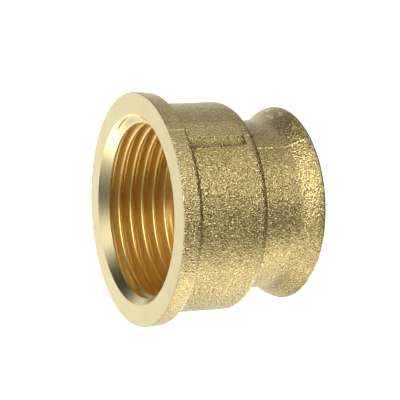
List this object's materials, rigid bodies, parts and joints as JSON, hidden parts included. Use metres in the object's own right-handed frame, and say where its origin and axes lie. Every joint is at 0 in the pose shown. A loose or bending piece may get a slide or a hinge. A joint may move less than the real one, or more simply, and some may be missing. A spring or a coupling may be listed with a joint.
{
  "type": "reducing coupling",
  "caption": "Brass pipe reducing coupling with a threaded socket at each end, a collar and casting ribs at the large end and a bead at the small end.",
  "frame": {"origin": "centre of the small end's machined face, on the bore axis", "axes": "+Z along the bore axis, from the small end to the large mouth; +X and -X through the two casting ribs"},
  "size_m": [0.0412, 0.0412, 0.0287],
  "materials": {
    "brass": "shot-blasted cast skin outside; bright machined end faces, mouth chamfers and threads"
  },
  "bodies": {
    "root": {"coupling_body": "brass"}
  },
  "joints": []
}
